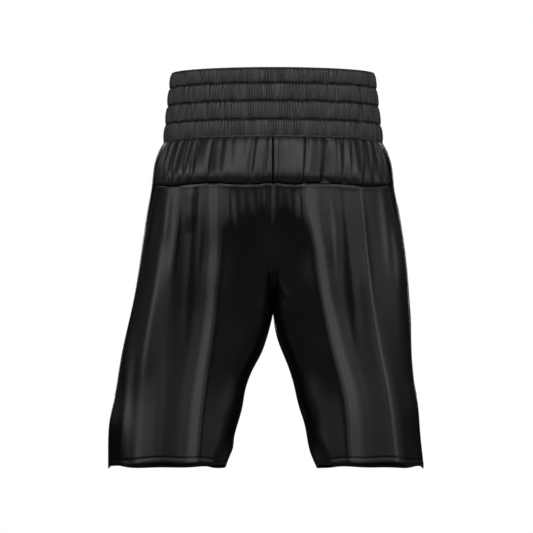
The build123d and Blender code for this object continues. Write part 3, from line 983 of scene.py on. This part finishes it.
def stitched_piece(cad_node, lines, **sizes):
    """One piece of stitching along several lines, which stands for one CAD node."""
    points = np.concatenate([stitches(line, normals, **sizes) for line, normals in lines])
    stations = len(STITCH_STATIONS)
    per_stitch = stations * STITCH_SIDES
    first = np.arange(0, len(points), per_stitch)[:, None, None]
    station, turn = np.meshgrid(np.arange(stations - 1), np.arange(STITCH_SIDES), indexing="ij")
    low = station * STITCH_SIDES + turn
    after = station * STITCH_SIDES + (turn + 1) % STITCH_SIDES
    quad = np.stack([low, after, after + STITCH_SIDES, low + STITCH_SIDES], axis=-1).reshape(1, -1, 4)
    quads = (quad + first).reshape(-1, 4)
    mesh = bpy.data.meshes.new(f"{cad_node}_thread")
    mesh.from_pydata(points.tolist(), [], quads.tolist())
    piece = link_mesh(mesh.name, mesh)
    finish_piece(piece, thread, [cad_node])
    return piece


def part_of(line, normals, top, foot):
    """The part of a line between two levels."""
    keep = (line[:, 2] <= top) & (line[:, 2] >= foot)
    return line[keep], normals[keep]


def body_stitching(grids):
    """Every row of stitches on the body, laid on the panels themselves."""
    pieces = {}

    def add(name, line, normals, top=YOKE_Z + 1, foot=HEM_Z - 1, axis_x=0.0):
        rows = pieces.setdefault(name, [])
        rows.append(part_of(line, away_from(line, normals, axis_x), top, foot))

    for face in FACES:
        for side in SIDES:
            leg = grids[f"{face}_leg_{side}"]
            for distance in YOKE_STITCHES:
                add(f"yoke_stitching_{face}", *line_across(leg, "first", distance))
            line = line_beside(leg, "first", SEAM_STITCH)
            add(f"centre_stitching_{face}", *line, *CENTRE_STITCHES)
    for side in SIDES:
        middle = SIDES[side] * LEG_MIDDLE_X
        for face in FACES:
            leg = grids[f"{face}_leg_{side}"]
            line = line_beside(leg, "last", SEAM_STITCH)
            add(f"side_seam_stitching_{side}", *line, YOKE_Z - 2 * MM, SLIT_Z + 2 * MM)
            line = line_beside(leg, "first", SEAM_STITCH)
            add(f"inseam_stitching_{side}", *line, INSEAM_STITCH_TOP, HEM_Z + 9 * MM, middle)
            line = line_across(leg, "last", HEM_STITCH)
            add(f"hem_stitching_{side}", *line, axis_x=middle)
    for name, lines in pieces.items():
        stitched_piece(name, lines)


BARTACK_POINTS = 9


def bartacks(cloths):
    """Dense stitches across the top of each slit."""
    for side in SIDES:
        rows = []
        columns = np.linspace(BACK_COLUMNS - 1.6, BACK_COLUMNS + 1.6, BARTACK_POINTS)
        reach = np.linspace(-5, 5, BARTACK_POINTS) * MM
        for level in np.arange(0.4, 2.5, 0.45) * MM:
            row = row_of(SLIT_Z - level) - 0.8 + 0 * columns
            middle = cloths[side].at(columns, row, "back")[BARTACK_POINTS // 2]
            normals = cloths[side].normal(columns, row, "back", SIDES[side])
            line = middle + np.stack([0 * reach, -reach, 0 * reach], axis=-1)
            rows.append((line + 0.5 * MM * np.array([SIDES[side], 0, 0]), normals))
        stitched_piece(f"slit_bartack_{side}", rows, pitch=2.2 * MM, length=2.1 * MM)


def facings(grids):
    """Strips inside both edges of each slit."""
    for side in SIDES:
        for face in FACES:
            leg = grids[f"{face}_leg_{side}"]
            keep = (leg[:, -1, 2] < SLIT_Z + 13 * MM) & (leg[:, -1, 2] > HEM_Z + 2.5 * MM)
            columns = []
            for distance in np.linspace(0.6, 13, 8) * MM:
                line, normals = line_beside(leg, "last", distance)
                outwards = away_from(line, normals, SIDES[side] * LEG_MIDDLE_X)
                columns.append((line - outwards * 1.3 * MM)[keep])
            points = np.stack(columns, axis=1)
            flip = (side == "left") != (face == "back")
            strip = cloth_piece(f"slit_facing_{face}_{side}", points, flip, reverse)


def waist_stitching():
    """Rows of stitches round the waistband, down in its grooves and at its foot."""
    theta = np.linspace(0, 2 * np.pi, WAIST_COLUMNS, endpoint=False)
    rows = []
    for number, level in enumerate(GROOVE_Z + [FOOT_Z + 1.3 * MM]):
        line = waist_point(theta, level + groove_wander(theta, number), -1.5 * MM)
        line = np.concatenate([line, line[:1]])
        rows.append((line, unit(line * np.array([1, 1, 0]))))
    sizes = {"pitch": 2.4 * MM, "length": 2.1 * MM, "radius": 0.32 * MM}
    return stitched_piece("waistband_stitching", rows, **sizes)


# ---- Inside pieces ----

def elastic_webs():
    """The four webs inside the casing's channels."""
    theta = np.linspace(0, 2 * np.pi, 240, endpoint=False)
    for number, (low, high) in enumerate(WEB_BOXES, start=1):
        rows = []
        for share in np.linspace(0, 1, 13):
            z = high[2] + (low[2] - high[2]) * share
            rib = 0.15 * MM * math.cos(share * 12 * math.pi)
            x = (high[0] - 0.8 * MM + rib) * np.cos(theta)
            y = (high[1] - 0.8 * MM + rib) * np.sin(theta)
            rows.append(np.stack([x, y, z + 0 * theta], axis=-1))
        web = grid_object(f"waist_elastic_{number}_web", np.array(rows), ring=True, thickness=0.9 * MM)
        finish_piece(web, webbing, [f"waist_elastic_{number}"])


def care_label():
    """A blank loop of tape sewn in under the back of the waistband."""
    low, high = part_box("care_label")
    across = np.linspace(low[0], high[0], 25)
    drop = high[2] - low[2]
    bend = 0.8 * MM
    profile = []
    for share in np.linspace(0, 1, 26):
        profile.append((high[1] - 0.25 * MM, high[2] - share * (drop - bend)))
    for angle in np.linspace(0.15, 0.85, 7) * np.pi:
        y = high[1] - 0.75 * MM + 0.5 * MM * math.cos(angle)
        profile.append((y, low[2] + bend - bend * math.sin(angle)))
    for share in np.linspace(1, 0, 26):
        profile.append((low[1] + 0.15 * MM, high[2] - share * (drop - bend)))
    rows = []
    for y, z in profile:
        share = (high[2] - z) / drop
        wave = 0.35 * np.sin(across / MM * 0.19)
        curl = share * MM * (1.3 * (across / high[0]) ** 2 + wave)
        rows.append(np.stack([across, y - curl, z + 0 * across], axis=-1))
    label = grid_object("care_label_tape", np.array(rows), thickness=0.15 * MM)
    finish_piece(label, label_tape, ["care_label"], body="care_label")


# ---- Stage, lights and camera ----

# Softboxes: name, place, size and power in watts; the paired ones stand on both sides
PAIRED_SOFTBOXES = [
    ("back", (2.45, 1.4, 0.25), (1.5, 1.4), 11),
    ("side", (2.6, -0.8, 0.55), (2.4, 1.5), 1.3),
    ("shoulder", (2.2, -1.5, 1.4), (1.5, 1.1), 5),
    ("edge", (2.8, 0.25, 0.2), (1.0, 1.6), 1.2),
    ("near", (1.25, 2.7, 0.08), (0.75, 0.8), 3.8),
    ("raised", (1.15, 2.35, 1.3), (1.0, 1.1), 10),
]
SINGLE_SOFTBOXES = [
    ("high_back", (0, 2.1, 1.5), (2.4, 1.4), 20),
    ("overhead", (0, 0.6, 2.2), (2.4, 1.6), 6),
    ("front", (0, -2.8, 0.5), (1.8, 1.6), 14),
]


def area_light(name, place, target, size, power):
    """Softbox aimed at a point, unseen by the camera."""
    data = bpy.data.lights.new(name, "AREA")
    data.shape = "RECTANGLE"
    data.size = size[0]
    data.size_y = size[1]
    data.energy = power
    lamp = bpy.data.objects.new(name, data)
    lamp.location = place
    aim = np.array(target) - np.array(place)
    yaw = math.atan2(aim[1], aim[0])
    pitch = math.atan2(aim[2], math.hypot(aim[0], aim[1]))
    lamp.rotation_euler = (math.pi / 2 + pitch, 0, yaw - math.pi / 2)
    lamp.visible_camera = False
    bpy.context.scene.collection.objects.link(lamp)


def split_by_ray(tree, hidden, seen, socket):
    """Feed a socket one value for what the camera sees and another for light and reflections."""
    ray = node(tree, "ShaderNodeLightPath")
    level = node(tree, "ShaderNodeMapRange", To_Min=hidden, To_Max=seen)
    tree.links.new(ray.outputs["Is Camera Ray"], level.inputs["Value"])
    tree.links.new(level.outputs["Result"], socket)


def studio():
    """Pale floor, darker in reflections than to the camera, white surroundings and softboxes."""
    mesh = bpy.data.meshes.new("floor")
    half = 30.0
    level = HEM_Z - 0.5
    corners = [(x * half, y * half, level) for x, y in ((-1, -1), (1, -1), (1, 1), (-1, 1))]
    mesh.from_pydata(corners, [], [(0, 1, 2, 3)])
    floor = bpy.data.objects.new("floor", mesh)
    bpy.context.scene.collection.objects.link(floor)
    pale = bpy.data.materials.new("pale_floor")
    pale.use_nodes = True
    tree = pale.node_tree
    shader = tree.nodes["Principled BSDF"]
    shader.inputs["Roughness"].default_value = 0.9
    shader.inputs["Specular IOR Level"].default_value = 0.0
    split_by_ray(tree, 0.2, 0.8, shader.inputs["Base Color"])
    mesh.materials.append(pale)

    world = bpy.data.worlds.new("white_surroundings")
    world.use_nodes = True
    tree = world.node_tree
    back = tree.nodes["Background"]
    back.inputs["Color"].default_value = (1, 1, 1, 1)
    split_by_ray(tree, 0.008, 1.0, back.inputs["Strength"])
    bpy.context.scene.world = world

    middle = (0, 0, (RIM_Z + HEM_Z) / 2)
    for turn in (1, -1):
        for name, (x, y, z), size, power in PAIRED_SOFTBOXES:
            area_light(f"{name}_softbox_{turn}", (turn * x, y, z), middle, size, power)
    for name, place, size, power in SINGLE_SOFTBOXES:
        area_light(f"{name}_softbox", place, middle, size, power)


def camera():
    """Long lens from behind and a little below, as the photograph was taken."""
    distance = 8.8
    frame_width = 0.746
    eye_drop = 0.26
    look_up = math.radians(3.5)
    data = bpy.data.cameras.new("camera")
    data.sensor_width = 36
    data.lens = data.sensor_width * distance / frame_width
    data.clip_end = 100
    eye = bpy.data.objects.new("camera", data)
    eye.location = (9.1 * MM, distance, HEM_Z - eye_drop)
    eye.rotation_euler = (math.pi / 2 + look_up, 0, math.pi)
    bpy.context.scene.collection.objects.link(eye)
    bpy.context.scene.camera = eye


camera()
studio()
bpy.context.scene.view_settings.view_transform = "Standard"

casing = waist_casing()
finish_piece(casing, satin_band_painted_lighter, ["waistband_casing"])
waist_rows = waist_stitching()
elastic_webs()
care_label()

halves = {side: folded_surface(side) for side in SIDES}
halves = settle(halves)
cloths, grids = body_pieces(halves)
body_stitching(grids)
bartacks(cloths)
facings(grids)
